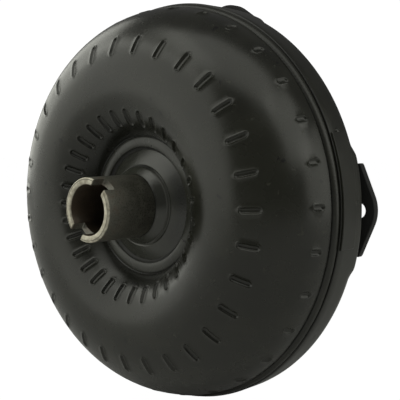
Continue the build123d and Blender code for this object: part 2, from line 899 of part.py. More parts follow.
def write_thrust_bearing(name, r_in, r_out, first_face, last_face, first_race, needle_r):
    """Two race washers with a caged set of radial needles between them."""
    needle_depth = first_face + first_race + bearing_gap + needle_r
    second_race_front = needle_depth + needle_r + bearing_gap
    races = (
        (f"{name}_race_front", first_face, first_face + first_race),
        (f"{name}_race_rear", second_race_front, last_face),
    )
    for label, front_face, rear_face in races:
        with BuildPart() as race:
            with BuildSketch(SECTION):
                with BuildLine():
                    plain_ring(r_in, r_out, front_face, rear_face)
                make_face()
            revolve(axis=Axis.Y)
        write(race, label)

    needle_start = r_in + needle_margin
    needle_length = r_out - needle_margin - needle_start
    with BuildPart() as needle:
        with BuildSketch(Plane.YZ.offset(needle_start)):
            with Locations((-needle_depth, 0)):
                Circle(needle_r)
        extrude(amount=needle_length)
    with BuildPart() as needles:
        add(turned(needle, evenly(needle_count)))
    write(needles, f"{name}_needles")

    cage_half = needle_r - cage_recess
    with BuildPart() as cage:
        with BuildSketch(ACROSS.offset(needle_depth - cage_half)):
            Circle(r_out - cage_margin)
            Circle(r_in + cage_margin, mode=Mode.SUBTRACT)
            with PolarLocations(needle_start + needle_length / 2, needle_count):
                Rectangle(
                    needle_length + 2 * bearing_gap, 2 * (needle_r + bearing_gap),
                    mode=Mode.SUBTRACT,
                )
        extrude(amount=2 * cage_half)
    write(cage, f"{name}_cage")


write_thrust_bearing(
    "front_bearing", front_bearing_inner_r, front_bearing_outer_r,
    cover_inner_depth, turbine_hub_front, front_race_wall, front_needle_r,
)
write_thrust_bearing(
    "rear_bearing", rear_bearing_inner_r, rear_bearing_outer_r,
    stator_wall_rear, bearing_pocket_depth, rear_race_wall, rear_needle_r,
)
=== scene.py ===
from math import acos, ceil, cos, hypot, pi, radians, sin

import bpy
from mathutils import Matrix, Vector, noise


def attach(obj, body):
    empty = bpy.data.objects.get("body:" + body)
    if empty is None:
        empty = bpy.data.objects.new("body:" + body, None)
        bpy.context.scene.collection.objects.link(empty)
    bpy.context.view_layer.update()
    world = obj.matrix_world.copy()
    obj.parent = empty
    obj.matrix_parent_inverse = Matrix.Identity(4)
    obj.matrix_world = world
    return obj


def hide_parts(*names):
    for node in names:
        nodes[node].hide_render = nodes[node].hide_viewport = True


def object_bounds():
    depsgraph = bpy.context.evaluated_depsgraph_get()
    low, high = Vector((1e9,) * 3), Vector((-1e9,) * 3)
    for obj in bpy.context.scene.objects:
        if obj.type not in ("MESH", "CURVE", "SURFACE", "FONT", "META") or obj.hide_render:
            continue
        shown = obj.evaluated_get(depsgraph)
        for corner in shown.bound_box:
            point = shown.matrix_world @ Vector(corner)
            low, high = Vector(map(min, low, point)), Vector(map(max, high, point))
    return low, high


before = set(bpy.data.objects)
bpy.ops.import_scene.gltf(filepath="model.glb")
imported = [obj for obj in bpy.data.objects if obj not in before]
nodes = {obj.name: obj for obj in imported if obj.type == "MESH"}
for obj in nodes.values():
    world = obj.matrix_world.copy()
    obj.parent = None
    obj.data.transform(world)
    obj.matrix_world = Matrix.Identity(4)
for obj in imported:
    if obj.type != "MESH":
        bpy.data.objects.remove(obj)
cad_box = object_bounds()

# --- Impeller shell -----------------------------------------------------------
# The rear half of the drum is a bowl of pressed steel. The tabs of its 31 blades
# are rolled into three rows of stamped grooves, and the whole drum is sprayed
# with thin olive-black paint.

MM = 0.001


def s_curve(value, low, high):
    """0 at low, 1 at high, and a smooth S between them."""
    t = min(max((value - low) / (high - low), 0.0), 1.0)
    return t * t * (3.0 - 2.0 * t)


def only(piece):
    """Select this piece alone and make it the active one."""
    bpy.ops.object.select_all(action="DESELECT")
    piece.select_set(True)
    bpy.context.view_layer.objects.active = piece


def clean(piece, crease=38.0):
    """Merge the seams, turn the faces outwards and smooth all but sharp edges."""
    only(piece)
    bpy.ops.object.mode_set(mode="EDIT")
    bpy.ops.mesh.select_all(action="SELECT")
    bpy.ops.mesh.remove_doubles(threshold=0.004 * MM)
    bpy.ops.mesh.normals_make_consistent(inside=False)
    bpy.ops.object.mode_set(mode="OBJECT")
    bpy.ops.object.shade_smooth_by_angle(angle=radians(crease))


def wrap(name, columns, rows, place, crease=38.0):
    """Bend a flat grid into a closed body. place(column, row) is in millimetres."""
    bpy.ops.object.select_all(action="DESELECT")
    bpy.ops.mesh.primitive_grid_add(
        x_subdivisions=columns, y_subdivisions=rows, size=2.0, location=(0, 0, 0)
    )
    piece = bpy.context.object
    piece.name = piece.data.name = name
    for vertex in piece.data.vertices:
        column = round((vertex.co.x + 1.0) / 2.0 * columns) % columns
        row = round((vertex.co.y + 1.0) / 2.0 * rows) % rows
        vertex.co = Vector(place(column, row)) * MM
    clean(piece, crease)
    return piece


def around(r, depth, angle):
    """Where a point of the section is after it has turned through an angle."""
    return (r * cos(angle), -depth, r * sin(angle))


def spaced(start, end, marks, step):
    """Places from start to end, through every mark, at most a step apart."""
    stops = sorted({start, end, *marks})
    places = []
    for low, high in zip(stops, stops[1:]):
        parts = ceil((high - low) / step)
        places += [low + (high - low) * part / parts for part in range(parts)]
    return places + [end]


class Signal:
    """A shader socket that takes arithmetic. Each step adds a Math node."""

    def __init__(self, finish, socket):
        self.finish = finish
        self.socket = socket

    def __add__(self, other):
        return self.finish.math("ADD", self, other)

    def __sub__(self, other):
        return self.finish.math("SUBTRACT", self, other)

    def __rsub__(self, other):
        return self.finish.math("SUBTRACT", other, self)

    def __mul__(self, other):
        return self.finish.math("MULTIPLY", self, other)

    def __pow__(self, other):
        return self.finish.math("POWER", self, other)

    __radd__ = __add__
    __rmul__ = __mul__


class Finish:
    """A material being mixed. Patterns are laid out in the object's own space."""

    def __init__(self, name):
        self.material = bpy.data.materials.new(name)
        self.material.use_nodes = True
        self.material.node_tree.nodes.clear()
        self.place = self.node("ShaderNodeTexCoord", out="Object")
        split = self.node("ShaderNodeSeparateXYZ", sockets={0: self.place}).socket.node
        self.x, y, self.z = (Signal(self, split.outputs[axis]) for axis in "XYZ")
        self.radius = (self.x * self.x + self.z * self.z) ** 0.5
        self.depth = y * -1.0

    def node(self, kind, settings=None, sockets=None, out=0):
        """Add a node: its settings, then the values or links of its sockets."""
        made = self.material.node_tree.nodes.new(kind)
        for key, value in (settings or {}).items():
            setattr(made, key, value)
        for key, value in (sockets or {}).items():
            if isinstance(value, Signal):
                self.material.node_tree.links.new(value.socket, made.inputs[key])
            else:
                made.inputs[key].default_value = value
        return Signal(self, made.outputs[out])

    def math(self, operation, *values):
        """Arithmetic that has no operator of its own."""
        return self.node("ShaderNodeMath", {"operation": operation}, dict(enumerate(values)))

    def noise(self, scale, detail=3.0, place=None):
        """Cloudy pattern, about 0.5 on average."""
        sockets = {"Vector": place or self.place, "Scale": scale, "Detail": detail}
        return self.node("ShaderNodeTexNoise", sockets=sockets)

    def fade(self, value, low, high):
        """0 where value is at low, 1 where it is at high."""
        sockets = {"Value": value, "From Min": low, "From Max": high}
        return self.node("ShaderNodeMapRange", {"interpolation_type": "SMOOTHSTEP"}, sockets)

    def band(self, value, middle, half):
        """1 at the middle, falling to 0 at half a band to either side."""
        return 1.0 - self.fade(self.math("ABSOLUTE", value - middle), 0.0, half)

    def mix(self, amount, first, second):
        """Blend of two colours."""
        rgb = [c if isinstance(c, Signal) else (*c, 1.0) for c in (first, second)]
        sockets = {0: amount, 6: rgb[0], 7: rgb[1]}
        return self.node("ShaderNodeMix", {"data_type": "RGBA"}, sockets, out=2)

    def rings(self, scale):
        """Fine tool marks, the same all the way round the shaft."""
        sockets = {"X": self.radius * scale, "Y": self.depth * scale}
        return self.noise(1.0, 2.0, self.node("ShaderNodeCombineXYZ", sockets=sockets))

    def bump(self, height, depth_mm, strength=1.0):
        """Surface relief of a height that runs from 0 to 1."""
        sockets = {"Strength": strength, "Distance": depth_mm * MM, "Height": height}
        return self.node("ShaderNodeBump", sockets=sockets)

    def surface(self, sockets):
        """Finish with one shader, and return the material."""
        return self.finished(self.node("ShaderNodeBsdfPrincipled", sockets=sockets))

    def finished(self, shader):
        """Send a shader to the surface, and return the material."""
        end = self.material.node_tree.nodes.new("ShaderNodeOutputMaterial")
        self.material.node_tree.links.new(shader.socket, end.inputs[0])
        return self.material


# Paler tone laid on as painted light.
painted_light_tone = (0.040, 0.041, 0.034)


def paint(name, colour, roughness=0.27, relief=0.015, shade_and_dirt=None, painted_light=None):
    """Thin semi-gloss spray with faint orange peel, duller patches and pale specks of grit; masks
    may lay on painted light and painted shade.
    """
    finish = Finish(name)
    cloud = finish.noise(11.0, 4.0)
    patch = finish.noise(46.0, 5.0)
    peel = finish.noise(620.0, 2.0)
    dark = tuple(0.80 * channel for channel in colour)
    pale = tuple(1.30 * channel for channel in colour)
    tone = finish.mix(finish.fade(cloud * 0.6 + patch * 0.4, 0.36, 0.64), dark, pale)
    specks = finish.fade(finish.noise(240.0, 3.0), 0.67, 0.74)
    tone = finish.mix(specks * 0.5, tone, tuple(3.2 * channel for channel in colour))
    # Painted light: a paler tone laid where the given mask asks for it.
    if painted_light:
        tone = finish.mix(painted_light(finish), tone, painted_light_tone)
    # Painted shade, with some real dark pits: a darker tone laid where the given mask asks for it.
    if shade_and_dirt:
        tone = finish.mix(shade_and_dirt(finish), tone, tuple(0.22 * channel for channel in colour))
    height = peel * relief + patch * 0.02 + finish.noise(24.0, 2.0) * 0.30
    return finish.surface({
        "Base Color": tone,
        "Roughness": roughness - 0.06 + patch * 0.12 + specks * 0.15,
        "IOR": 1.47,
        "Normal": finish.bump(height, 1.0),
    })


def wear(piece, material, body="drum"):
    """Give a piece its material and the body it rides on."""
    piece.data.materials.clear()
    piece.data.materials.append(material)
    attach(piece, body)


olive_black = (0.0118, 0.0121, 0.0082)
blade_pitch = 2.0 * pi / 31
blade_phase = radians(2.35)
bowl_center = Vector((94.5, 46.0))
bowl_r = 57.7
shoulder_r = 40.0
shoulder_start = acos((82.0 - bowl_center.x) / bowl_r)
shoulder_center = bowl_center + (bowl_r - shoulder_r) * Vector(
    (cos(shoulder_start), sin(shoulder_start))
)
shoulder_end = acos((54.4 - shoulder_center.x) / shoulder_r)
bowl_run = bowl_r * shoulder_start
skin_run = bowl_run + shoulder_r * (shoulder_end - shoulder_start)
inner_groove_at = bowl_run + shoulder_r * (
    acos((66.8 - shoulder_center.x) / shoulder_r) - shoulder_start
)

# place along the skin, half length, depth and height of the raised edge
grooves = (
    (bowl_r * radians(16.0), 4.8, 0.85, 0.34),
    (bowl_r * radians(63.2), 8.2, 1.15, 0.34),
    (inner_groove_at, 7.8, 1.25, 0.30),
)


def skin(run):
    """Point and outward direction at a distance along the bowl from its rim."""
    if run < bowl_run:
        middle, radius, angle = bowl_center, bowl_r, run / bowl_r
    else:
        middle, radius = shoulder_center, shoulder_r
        angle = shoulder_start + (run - bowl_run) / shoulder_r
    out = Vector((cos(angle), sin(angle)))
    return middle + radius * out, out


def groove_shape(along, across, half, deep, edge):
    """Height of the skin near a groove: sunk floor, soft wall, slightly raised edge."""
    reach = hypot(max(abs(along) - (half - 2.4), 0.0), across)
    return edge * s_curve(reach, 1.9, 2.5) * (1.0 - s_curve(reach, 2.5, 3.5)) - deep * (
        1.0 - s_curve(reach, 0.9, 2.3)
    )


groove_marks = [
    place + side * (half + offset)
    for place, half, deep, edge in grooves
    for side in (-1, 1)
    for offset in (1.1, 0.55, 0.1, -0.4, -0.9, -1.5, -2.3)
]
lip_outline = [
    (53.9, 78.15), (53.55, 77.5), (53.2, 77.25), (52.9, 77.35), (52.5, 77.65), (51.9, 77.95),
    (51.0, 78.15), (49.6, 78.25), (48.0, 78.25), (46.6, 78.15), (45.6, 77.95), (44.95, 77.55),
    (44.6, 76.9), (44.6, 73.8),
]
inner_angles = [radians(163.4) - (radians(163.4) - shoulder_start) * k / 5 for k in range(6)]
inside_outline = [
    (shoulder_center.x + 37.0 * cos(a), shoulder_center.y + 37.0 * sin(a)) for a in inner_angles
]
inside_outline += [
    (bowl_center.x + 54.7 * cos(shoulder_start * (1.0 - k / 9)),
     bowl_center.y + 54.7 * sin(shoulder_start * (1.0 - k / 9)))
    for k in range(1, 10)
]
inside_outline += [(149.2, 36.0), (152.0, 36.0), (152.0, 44.5)]

bowl_rows = [(*skin(run), run) for run in spaced(0.0, skin_run, groove_marks, 2.3)]
bowl_rows += [(Vector(point), None, None) for point in lip_outline + inside_outline]
blade_columns = 18


def bowl_place(column, row):
    point, out, run = bowl_rows[row]
    blade, step = divmod(column, blade_columns)
    half_pitch = blade_pitch / 2 * point.x
    rest = (half_pitch - 3.5) / 3
    steps = (0.0, 0.7, 1.25, 1.7, 2.1, 2.5, 3.0, 3.5, 3.5 + rest)
    across = half_pitch if step == 17 else (steps[step - 8] if step >= 8 else -steps[8 - step])
    lean = radians(4.68) * (1.0 - s_curve(point.x, 72.0, 113.0))
    if out:
        height = sum(
            groove_shape(run - place, across, half, deep, edge)
            for place, half, deep, edge in grooves
            if abs(run - place) < half + 2.0
        )
        point = point + height * out
    angle = blade_phase + blade * blade_pitch + lean + across / bowl_rows[row][0].x
    return around(point.x, point.y, angle)


def bowl_shade_and_pits(finish):
    """Painted shade in the crease beside the flat ring and along the toe of the seam, wider towards
    the lower right; also dark pits in the paint.
    """
    ring = finish.band(finish.radius, 53.1 * MM, 1.1 * MM) * 0.8
    seam = finish.band(finish.depth, 49.0 * MM, 1.3 * MM)
    low = finish.fade(finish.x - finish.z, 0.08, 0.17)
    seam = finish.math("MAXIMUM", seam, finish.band(finish.depth, 49.3 * MM, 2.8 * MM) * low)
    pits = finish.fade(finish.noise(95.0, 1.0), 0.735, 0.75)
    return finish.math("MAXIMUM", finish.math("MAXIMUM", ring, seam * 0.8), pits)


def bowl_ring_painted_light(finish):
    """Painted light: the flat ring is painted paler than the rest of the bowl, in patches."""
    patchy = finish.fade(finish.noise(60.0, 5.0), 0.30, 0.62) * 0.45 + 0.55
    return finish.fade(finish.radius, 53.1 * MM, 52.4 * MM) * patchy


bowl = wrap("bowl", 31 * blade_columns, len(bowl_rows), bowl_place)
# The bowl's paint takes painted shade in its creases and painted light on the flat ring.
wear(bowl, paint("olive_black_bowl", olive_black, shade_and_dirt=bowl_shade_and_pits, painted_light=bowl_ring_painted_light))
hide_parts("impeller_shell")

# --- Front cover --------------------------------------------------------------
# The front half of the drum is a shallow steel dish, pressed with four raised
# pads for the lugs. Its wall slips over the rim of the bowl.

lug_angles = (0.0, 80.0, 180.0, 260.0)
corner_center = Vector((141.9, 25.3))
wall_outline = [
    ((155.0, 43.0), (155.0, 43.0)), ((155.65, 42.75), (155.65, 42.75)),
    ((155.9, 42.1), (155.9, 42.1)), ((155.9, 36.0), (155.9, 36.0)),
    ((155.9, 30.0), (155.9, 30.0)),
]
pad_corner = (
    (155.9, 25.3), (155.9, 22.9), (155.9, 20.5), (155.9, 18.4), (155.8, 17.3), (155.4, 16.4),
    (154.6, 15.7), (151.5, 14.05), (148.3, 12.3), (145.1, 10.5), (141.9, 8.75),
)
corner_outline = [
    ((corner_center.x + 14.0 * cos(radians(9 * k)), corner_center.y - 14.0 * sin(radians(9 * k))),
     pad_point)
    for k, pad_point in enumerate(pad_corner)
]
pad_top = (
    (139.0, 7.15), (136.6, 5.85), (135.2, 5.52), (130.0, 5.5), (124.0, 5.5), (121.4, 5.5),
    (120.3, 5.9), (118.7, 8.1), (117.2, 10.3), (115.8, 11.2), (114.0, 11.3),
)
face_outline = [((r, 11.3), (r, depth)) for r, depth in pad_top]
face_outline += [((r, 11.3), (r, 11.3)) for r in (100.0, 80.0, 60.0, 40.0, 25.0, 14.0)]
face_outline += [((r, 15.1), (r, 15.1)) for r in (14.0, 40.0, 80.0, 116.0, 141.9)]
back_outline = [
    (corner_center.x + 10.2 * sin(radians(18 * k)), corner_center.y - 10.2 * cos(radians(18 * k)))
    for k in range(1, 6)
]
back_outline += [(152.1, 36.0), (152.1, 43.0)]
dish_rows = wall_outline + corner_outline + face_outline + [(p, p) for p in back_outline]


def dish_place(column, row):
    angle = column * 0.75
    gap = min(abs((angle - lug + 180.0) % 360.0 - 180.0) for lug in lug_angles)
    plain, raised = dish_rows[row]
    share = 1.0 - s_curve(gap, 14.6, 18.4)
    r, depth = Vector(plain).lerp(Vector(raised), share)
    return around(r, depth, radians(angle))


def dish_edge_shade(finish):
    """Painted shade along the edge of the wall, beside the seam."""
    return finish.band(finish.depth, 43.0 * MM, 0.7 * MM) * 0.8


dish = wrap("dish", 480, len(dish_rows), dish_place)
# The dish's paint takes painted shade along the wall's edge.
wear(dish, paint("olive_black_dish", olive_black, 0.32, shade_and_dirt=dish_edge_shade))
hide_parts("front_cover")

# --- Closing seam -------------------------------------------------------------
# One bead of arc weld runs round the drum, in the corner between the dish's edge
# and the bowl. It is left as laid and painted over.


def ripple(name, outline, scales, height, seed, body_points):
    """A closed ring of weld whose scales overlap like fish scales."""
    columns = scales * 4
    middle = sum((Vector(point) for point in outline), Vector((0, 0))) / len(outline)

    def place(column, row):
        point = Vector(outline[row])
        angle = 2.0 * pi * column / columns
        if row in body_points:
            wander = noise.noise(Vector((8.0 * cos(angle), 8.0 * sin(angle), seed)))
            scale = 1.0 - (column % 4) / 4 + 0.5 * abs(row - len(body_points) / 2) / 4
            point = point + (point - middle).normalized() * height * (scale - 0.5 + wander)
        return around(point.x, point.y, angle)

    return wrap(name, columns, len(outline), place, 60.0)


seam_outline = [
    (152.2, 43.05), (153.9, 43.0), (154.5, 43.5), (154.85, 44.6), (154.8, 45.9), (154.3, 47.2),
    (153.4, 48.3), (152.2, 49.1), (151.8, 48.9), (151.8, 45.0),
]
seam_bead = ripple("seam_bead", seam_outline, 330, 0.16, 3.0, range(1, 7))


def seam_toe_shade(finish):
    """Painted shade along both toes of the bead."""
    edges = finish.band(finish.depth, 43.0 * MM, 0.6 * MM)
    return finish.math("MAXIMUM", edges, finish.band(finish.depth, 49.3 * MM, 1.0 * MM))


# The bead's paint takes painted shade along its toes.
wear(seam_bead, paint("olive_black_seam", olive_black, 0.36, 0.08, seam_toe_shade))
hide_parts("closure_weld")

# --- Pump hub -----------------------------------------------------------------
# A steel tube, turned and ground, whose open end has two slots that drive the
# pump. The end is worn bright, the tube is bare and dark with age, and the
# sloping foot is painted. The tube is painted paler towards its open end, partly
# polished by the bushing and partly as painted reflection. The paint round the
# foot's step is broken, with painted shadow on its upper left and a painted
# highlight on its right, and painted shade darkens the bend at the tube's foot,
# the flange's outer edge on the left and its slope on the right.


def turn(name, outline, steps=180, sweep=360.0, crease=34.0):
    """Spin a closed outline of (radius, depth) points round the shaft."""
    bpy.ops.object.select_all(action="DESELECT")
    bpy.ops.mesh.primitive_circle_add(
        vertices=len(outline), radius=1.0, fill_type="NOTHING" if sweep == 360.0 else "NGON",
        location=(0, 0, 0),
    )
    piece = bpy.context.object
    piece.name = piece.data.name = name
    for vertex, (r, depth) in zip(piece.data.vertices, outline):
        vertex.co = Vector((r, -depth, 0.0)) * MM
    bpy.ops.object.mode_set(mode="EDIT")
    bpy.ops.mesh.select_all(action="SELECT")
    bpy.ops.mesh.spin(steps=steps, angle=radians(sweep), center=(0, 0, 0), axis=(0, 1, 0))
    bpy.ops.object.mode_set(mode="OBJECT")
    clean(piece, crease)
    return piece


def modify(piece, kind, crease=None, **settings):
    """Put one modifier on a piece and apply it."""
    only(piece)
    modifier = piece.modifiers.new(kind.lower(), kind)
    for key, value in settings.items():
        setattr(modifier, key, value)
    bpy.ops.object.modifier_apply(modifier=modifier.name)
    if crease:
        bpy.ops.object.shade_smooth_by_angle(angle=radians(crease))


def join(pieces, name, crease):
    """Make one piece of several."""
    bpy.ops.object.select_all(action="DESELECT")
    for piece in pieces:
        piece.select_set(True)
    bpy.context.view_layer.objects.active = pieces[0]
    bpy.ops.object.join()
    pieces[0].name = pieces[0].data.name = name
    clean(pieces[0], crease)
    return pieces[0]


def swing(piece, angle):
    """Turn the shape of a piece round the shaft."""
    for vertex in piece.data.vertices:
        x, y, z = vertex.co
        vertex.co = (x * cos(angle) - z * sin(angle), y, x * sin(angle) + z * cos(angle))


slot_angle = radians(55.5)
hub_end = 134.8
hub_outline = [
    (18.6, 133.9), (18.9, 134.45), (19.5, 134.8), (21.9, 134.8), (22.15, 134.5), (22.45, 134.5),
    (22.75, 134.72), (23.2, 134.5), (23.62, 133.9), (23.81, 133.1), (23.81, 110.0),
    (23.81, 89.2), (24.0, 88.3), (24.6, 87.6), (26.8, 85.4), (29.0, 83.2), (29.75, 82.45),
    (30.0, 81.9), (30.05, 80.1), (30.4, 79.7), (30.9, 79.85), (31.6, 80.05), (34.0, 78.9),
    (38.0, 76.95), (42.0, 75.0), (42.8, 74.6), (42.8, 71.6), (34.0, 71.6), (34.0, 75.0),
    (18.6, 75.0),
]
hub_tube = turn("hub_tube", hub_outline)
bpy.ops.object.select_all(action="DESELECT")
bpy.ops.mesh.primitive_cube_add(size=1.0, location=(0, 0, 0))
slot_tool = bpy.context.object
slot_size = Vector((72.0, 22.0, 12.7)) * MM
for vertex in slot_tool.data.vertices:
    x, y, z = (side * size for side, size in zip(vertex.co, slot_size))
    vertex.co = (x, y - hub_end * MM, z)
swing(slot_tool, slot_angle)
modify(slot_tool, "BEVEL", width=0.9 * MM, segments=3)
modify(hub_tube, "BOOLEAN", object=slot_tool, operation="DIFFERENCE", solver="EXACT")
bpy.data.objects.remove(slot_tool)
clean(hub_tube)
modify(hub_tube, "BEVEL", 34.0, width=0.35 * MM, segments=2, limit_method="ANGLE",
       angle_limit=radians(50.0), use_clamp_overlap=True)

aged = Finish("aged_hub_steel")
marks = aged.rings(3600.0)
blotch = aged.noise(130.0, 6.0)
grit = aged.noise(900.0, 2.0)
steel = aged.mix(aged.fade(blotch, 0.35, 0.66), (0.105, 0.102, 0.083), (0.150, 0.145, 0.120))
steel = aged.mix(aged.fade(grit, 0.45, 0.70) * 0.7, steel, (0.020, 0.020, 0.017))
rust = aged.fade(aged.noise(130.0, 6.0), 0.46, 0.64) * aged.fade(aged.depth, 0.114, 0.129)
steel = aged.mix(rust * 0.7, steel, (0.085, 0.040, 0.022))
foot = aged.fade(aged.depth, 88.7 * MM, 87.9 * MM)
steel = aged.mix(foot, steel, aged.mix(blotch, (0.026, 0.027, 0.021), (0.044, 0.046, 0.036)))
# Painted reflection, partly real polishing by the bushing: the tube is painted paler towards its
# open end.
polish_and_reflection = aged.fade(aged.depth, 0.100, 0.128)
steel = aged.mix(polish_and_reflection * (0.75 - grit * 0.6), steel, (0.200, 0.196, 0.166))
# Painted shade in the bend where the tube meets its foot.
corner = aged.band(aged.depth, 88.5 * MM, 0.9 * MM)
steel = aged.mix(corner * 0.85, steel, (0.008, 0.008, 0.007))
inside = aged.fade(aged.radius, 18.9 * MM, 18.65 * MM)
rusty = aged.mix(blotch, (0.030, 0.022, 0.016), (0.110, 0.078, 0.052))
steel = aged.mix(inside * 0.85, steel, rusty)
scuffed = aged.noise(300.0, 4.0)
end_wear = aged.fade(aged.depth + scuffed * (0.9 * MM), 133.75 * MM, 134.35 * MM)
end_wear = end_wear * (1.0 - aged.band(aged.radius, 22.3 * MM, 0.5 * MM) * 0.92)
# Painted highlight: the collar's step is painted pale on its right side.
collar_highlight = aged.band(aged.radius, 29.95 * MM, 0.6 * MM) * aged.fade(
    aged.x * 0.85 - aged.z * 0.2 + scuffed * 0.012, 0.008, 0.018
)
# Broken paint at the foot's step, with painted shadow: it is dark only on the upper left.
chip_and_shadow = aged.band(aged.radius + (scuffed - 0.5) * 0.0012, 30.45 * MM, 0.85 * MM) * aged.fade(
    scuffed * 0.02 - aged.x * 0.5 + aged.z * 0.5, 0.008, 0.018
)
bright = aged.mix(aged.fade(scuffed, 0.3, 0.7), (0.34, 0.31, 0.24), (0.58, 0.55, 0.45))
steel = aged.mix(chip_and_shadow, steel, (0.006, 0.006, 0.005))
steel = aged.mix(collar_highlight * 0.42, steel, (0.34, 0.34, 0.32))
# Painted shade: the flange's outer edge is darkened on the left and its slope on the right.
sideways = aged.math("DIVIDE", aged.x, aged.radius)
flange_shade = aged.band(aged.radius, 43.0 * MM, 2.8 * MM) * aged.fade(sideways, 0.1, -0.7) * 0.8
flange_shade = aged.math(
    "MAXIMUM", flange_shade,
    aged.fade(aged.radius, 31.0 * MM, 38.0 * MM) * aged.fade(sideways, 0.35, 0.95) * 0.55,
)
steel = aged.mix(flange_shade, steel, (0.010, 0.010, 0.009))
wear(hub_tube, aged.surface({
    "Base Color": aged.mix(end_wear, steel, bright),
    "Metallic": 0.50 + end_wear * 0.10 - foot * 0.45,
    "Roughness": 0.30 + blotch * 0.14 - marks * 0.06 - foot * 0.10 + end_wear * 0.14,
    "IOR": 1.62,
    "Normal": aged.bump(marks * 0.4 + aged.noise(520.0, 4.0) * (0.25 + foot * 0.9), 0.09),
}))
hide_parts("pump_hub")

# --- Hub weld -----------------------------------------------------------------
# A narrow bead joins the hub's flange to the flat ring in the bowl. It sits at
# the foot of the ring's inner wall, and it is painted darker, as painted shade.

hub_bead = ripple("hub_bead", [
    (42.6, 74.65), (43.2, 74.95), (43.8, 75.3), (44.3, 75.75), (44.65, 76.1), (44.7, 73.8),
    (42.6, 73.8),
], 96, 0.12, 11.0, range(1, 4))
# The bead's paint is darkened as painted shade.
wear(hub_bead, paint("shaded_hub_bead", tuple(0.45 * c for c in olive_black), 0.5, 0.12))
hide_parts("hub_weld")

# --- Mounting lugs ------------------------------------------------------------
# Four plates cut from flat bar, each with one bolt hole. Each is welded to its
# pad along the inner edge and dipped in satin black.

lug_r = 146.05
tip_center = lug_r + 12.95 - 26.5
flank = radians(24.3)
flank_end = (tip_center + 26.5 * cos(flank), 26.5 * sin(flank))
shoulder_at = flank_end[0] - (34.0 - flank_end[1]) * sin(flank) / cos(flank)
half_lug = [
    (tip_center + 26.5 * cos(flank * k / 8), 26.5 * sin(flank * k / 8)) for k in range(9)
]
half_lug += [(shoulder_at + 0.9, 32.6), (shoulder_at, 33.7), (shoulder_at - 1.3, 33.75)]
half_lug += [(127.4, 25.6), (125.2, 24.2), (124.2, 22.4), (124.0, 20.2)]
lug_outline = half_lug + [(r, -side) for r, side in reversed(half_lug[1:])]

bpy.ops.object.select_all(action="DESELECT")
bpy.ops.mesh.primitive_circle_add(
    vertices=len(lug_outline), radius=1.0, fill_type="NGON", location=(0, 0, 0)
)
lug_blank = bpy.context.object
for vertex, (r, side) in zip(lug_blank.data.vertices, lug_outline):
    vertex.co = Vector((r, -5.5, side)) * MM
bpy.ops.object.mode_set(mode="EDIT")
bpy.ops.mesh.select_all(action="SELECT")
bpy.ops.mesh.extrude_region_move(TRANSFORM_OT_translate={"value": (0, 5.5 * MM, 0)})
bpy.ops.object.mode_set(mode="OBJECT")
clean(lug_blank)
bpy.ops.mesh.primitive_cylinder_add(
    vertices=64, radius=5.6 * MM, depth=20 * MM, location=(lug_r * MM, 0, 0),
    rotation=(pi / 2, 0, 0),
)
hole_tool = bpy.context.object
modify(lug_blank, "BOOLEAN", object=hole_tool, operation="DIFFERENCE", solver="EXACT")
bpy.data.objects.remove(hole_tool)
clean(lug_blank)
modify(lug_blank, "BEVEL", 34.0, width=0.55 * MM, segments=3, limit_method="ANGLE",
       angle_limit=radians(50.0))

dip = Finish("satin_black_lug")
dip_grain = dip.noise(380.0, 4.0)
scuffs = dip.fade(dip.noise(90.0, 7.0), 0.62, 0.72)
lug_black = dip.surface({
    "Base Color": dip.mix(scuffs, (0.022, 0.022, 0.022), (0.040, 0.040, 0.040)),
    "Roughness": 0.55 + dip_grain * 0.16 + scuffs * 0.1,
    "IOR": 1.30,
    "Normal": dip.bump(dip_grain, 0.06),
})
for number, angle in enumerate(lug_angles, start=1):
    lug = lug_blank.copy()
    lug.data = lug_blank.data.copy()
    lug.name = lug.data.name = f"lug_plate_{number}"
    bpy.context.collection.objects.link(lug)
    swing(lug, radians(angle))
    wear(lug, lug_black)
    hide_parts(f"mounting_lug_{number}")
bpy.data.objects.remove(lug_blank)


def lug_bead_place(column, row):
    """A fillet along the inner edge of each lug, thin at its two ends."""
    lug, step = divmod(column, 41)
    along = -20.0 + step
    swell = 1.0 - s_curve(abs(along), 17.5, 20.0)
    wander = 0.25 * noise.noise(Vector((0.35 * along, 5.0 * lug, 2.0)))
    size = swell * (3.0 + wander - 0.35 * ((step * 0.4) % 1.0))
    run = pi / 2 * row / 7
    if row == 8:
        r, depth = 124.05, 5.55
    else:
        r, depth = 124.0 - size * cos(run) ** 0.8, 5.5 - size * sin(run) ** 0.8
    angle = radians(lug_angles[lug])
    return (r * cos(angle) - along * sin(angle), -depth, r * sin(angle) + along * cos(angle))


lug_bead_parts = []
for lug in range(4):
    bpy.ops.object.select_all(action="DESELECT")
    bpy.ops.mesh.primitive_grid_add(
        x_subdivisions=40, y_subdivisions=9, size=2.0, location=(0, 0, 0)
    )
    strip = bpy.context.object
    for vertex in strip.data.vertices:
        step = round((vertex.co.x + 1.0) / 2.0 * 40)
        row = round((vertex.co.y + 1.0) / 2.0 * 9) % 9
        vertex.co = Vector(lug_bead_place(lug * 41 + step, row)) * MM
    lug_bead_parts.append(strip)
lug_beads = join(lug_bead_parts, "lug_beads", 55.0)
wear(lug_beads, paint("black_lug_bead", (0.012, 0.012, 0.012), 0.5, 0.12))
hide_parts("lug_welds")

# --- Crank pilot --------------------------------------------------------------
# A turned nose that centres the drum in the crankshaft. It is masked off from the
# paint, and a centre hole from the lathe is left in its pocket.

